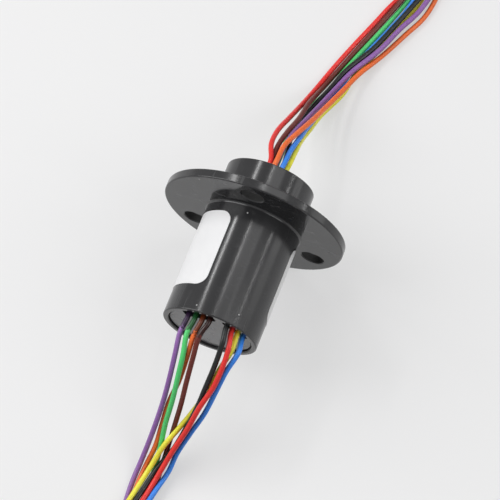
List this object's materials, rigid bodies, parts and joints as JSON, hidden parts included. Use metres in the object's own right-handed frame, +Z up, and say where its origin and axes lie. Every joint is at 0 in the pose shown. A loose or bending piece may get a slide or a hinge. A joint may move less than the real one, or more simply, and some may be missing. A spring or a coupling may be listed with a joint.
{
  "type": "slip ring",
  "caption": "Capsule slip ring with a round mounting flange, a label round the body and a bundle of coloured leads at each end.",
  "frame": {"origin": "centre of the flange's mounting face, on the spin axis", "axes": "+Y along the spin axis towards the nose, +Z up, with one flange hole at the top"},
  "size_m": [0.059, 0.2182, 0.0423],
  "materials": {
    "housing_plastic": "satin",
    "label_film": "satin",
    "cap_resin": "matt",
    "inner_plastic": "satin",
    "board": "satin",
    "bearing_steel": "polished",
    "hub_plastic": "satin",
    "bush_rubber": "matt",
    "collar_metal": "satin",
    "insulator": "satin",
    "ring_brass": "polished",
    "block_plastic": "satin",
    "brush_wire": "polished",
    "coil_bundle": "satin",
    "tie_plastic": "satin",
    "lead_purple": "satin",
    "lead_green": "satin",
    "lead_orange": "satin",
    "lead_brown": "satin",
    "lead_black": "satin",
    "lead_red": "satin",
    "lead_yellow": "satin",
    "lead_blue": "satin"
  },
  "bodies": {
    "stator": {"housing": "housing_plastic", "label": "label_film", "end_cap": "cap_resin", "rear_carrier": "inner_plastic", "terminal_board": "board", "front_outer_race": "bearing_steel", "rear_outer_race": "bearing_steel", "brush_block_left": "block_plastic", "brush_block_right": "block_plastic", "brushes_left": "brush_wire", "brushes_right": "brush_wire", "stator_lead_purple": "lead_purple", "stator_lead_green": "lead_green", "stator_lead_orange": "lead_orange", "stator_lead_brown": "lead_brown", "stator_lead_black": "lead_black", "stator_lead_red": "lead_red", "stator_lead_yellow": "lead_yellow", "stator_lead_blue": "lead_blue", "stator_coil": "coil_bundle", "stator_tie": "tie_plastic"},
    "rotor": {"front_inner_race": "bearing_steel", "rear_inner_race": "bearing_steel", "rotor_shaft": "inner_plastic", "rotor_hub": "hub_plastic", "lead_bush": "bush_rubber", "lock_collar": "collar_metal", "insulating_discs": "insulator", "slip_ring_1": "ring_brass", "slip_ring_2": "ring_brass", "slip_ring_3": "ring_brass", "slip_ring_4": "ring_brass", "slip_ring_5": "ring_brass", "slip_ring_6": "ring_brass", "slip_ring_7": "ring_brass", "slip_ring_8": "ring_brass", "rotor_lead_yellow": "lead_yellow", "rotor_lead_blue": "lead_blue", "rotor_lead_orange": "lead_orange", "rotor_lead_red": "lead_red", "rotor_lead_brown": "lead_brown", "rotor_lead_green": "lead_green", "rotor_lead_black": "lead_black", "rotor_lead_purple": "lead_purple", "rotor_coil": "coil_bundle", "rotor_tie": "tie_plastic"},
    "front_ball_set": {"front_balls": "bearing_steel"},
    "rear_ball_set": {"rear_balls": "bearing_steel"}
  },
  "joints": [
    {"name": "rotor_spin", "type": "hinge", "parent": "stator", "child": "rotor", "pos_m": [0, 0, 0], "axis": [0, 1, 0], "continuous": true},
    {"name": "front_balls_roll", "type": "hinge", "parent": "stator", "child": "front_ball_set", "pos_m": [0, 0, 0], "axis": [0, 1, 0], "continuous": true},
    {"name": "rear_balls_roll", "type": "hinge", "parent": "stator", "child": "rear_ball_set", "pos_m": [0, 0, 0], "axis": [0, 1, 0], "continuous": true}
  ],
  "couplings": [
    {"joint": "front_balls_roll", "follows": "rotor_spin", "ratio": 0.4},
    {"joint": "rear_balls_roll", "follows": "rotor_spin", "ratio": 0.3875}
  ]
}
